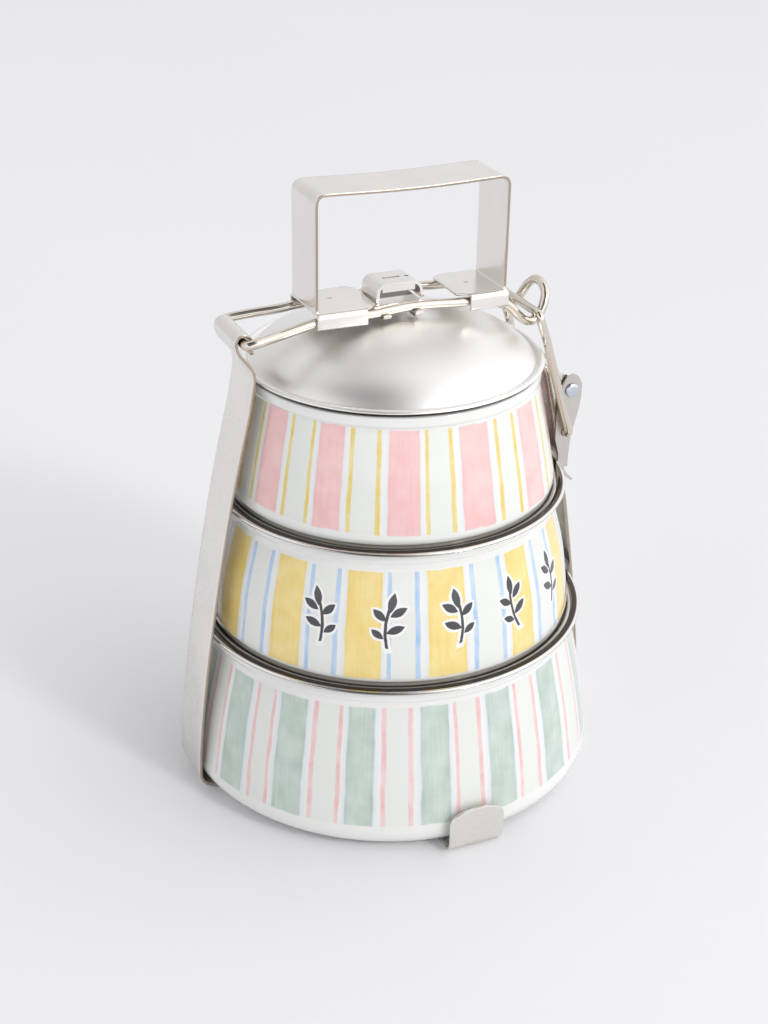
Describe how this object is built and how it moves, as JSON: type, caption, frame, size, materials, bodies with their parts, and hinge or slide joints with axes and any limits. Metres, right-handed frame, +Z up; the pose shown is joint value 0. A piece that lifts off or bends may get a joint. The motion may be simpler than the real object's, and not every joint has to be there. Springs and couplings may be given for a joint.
{
  "type": "tiffin carrier",
  "caption": "Stacked lunch carrier: striped enamel bowls with pressed steel lids in a strap carrier with a hinged wire top frame, strap handle and wire latch.",
  "frame": {"origin": "centre of the base on the surface that the carrier stands on, under the crossing of the two bottom straps", "axes": "+Z up along the stack, +X from the hinge barrel towards the latch, -Y towards the front, where the tiers are drawn out"},
  "size_m": [0.1834, 0.1852, 0.2552],
  "materials": {
    "satin_steel": "satin nickel plated sheet steel",
    "bright_wire": "bright plated round wire",
    "polished_lid": "pressed steel, soft polish on the crown and bright at the rolled edge",
    "zinc_rivet": "zinc plated",
    "enamel": "glossy white enamel on steel with painted stripes"
  },
  "bodies": {
    "carrier": {"carrier_strap": "satin_steel", "cross_strap": "satin_steel", "latch_bracket": "satin_steel", "lever_rivet": "zinc_rivet", "bottom_bowl": "enamel", "lower_lid": "polished_lid"},
    "middle_tier": {"middle_bowl": "enamel", "middle_lid": "polished_lid"},
    "top_tier": {"top_bowl": "enamel"},
    "lid": {"dome_lid": "polished_lid"},
    "top_frame": {"wire_frame": "bright_wire", "handle": "satin_steel", "clip_bridge": "satin_steel", "press_plate": "satin_steel"},
    "lever": {"latch_lever": "satin_steel"},
    "latch_bail": {"bail": "bright_wire"}
  },
  "joints": [
    {"name": "frame_swing", "type": "hinge", "parent": "carrier", "child": "top_frame", "pos_m": [-0.0674, 0, 0.2002], "axis": [0, -1, 0], "range_deg": [0, 180]},
    {"name": "lever_swing", "type": "hinge", "parent": "carrier", "child": "lever", "pos_m": [0.0774, 0, 0.1599], "axis": [0, -1, 0], "range_deg": [0, 120]},
    {"name": "bail_swing", "type": "hinge", "parent": "lever", "child": "latch_bail", "pos_m": [0.0756, 0, 0.141], "axis": [0, 1, 0], "range_deg": [0, 216]},
    {"name": "middle_draw", "type": "slide", "parent": "carrier", "child": "middle_tier", "axis": [0, -1, 0], "range_m": [0, 0.18]},
    {"name": "top_draw", "type": "slide", "parent": "carrier", "child": "top_tier", "axis": [0, -1, 0], "range_m": [0, 0.18]},
    {"name": "lid_lift", "type": "slide", "parent": "top_tier", "child": "lid", "axis": [0, 0, 1], "range_m": [0, 0.0055]}
  ],
  "couplings": [
    {"joint": "bail_swing", "follows": "lever_swing", "ratio": 1.75},
    {"joint": "lid_lift", "follows": "top_draw", "ratio": 0.03}
  ]
}
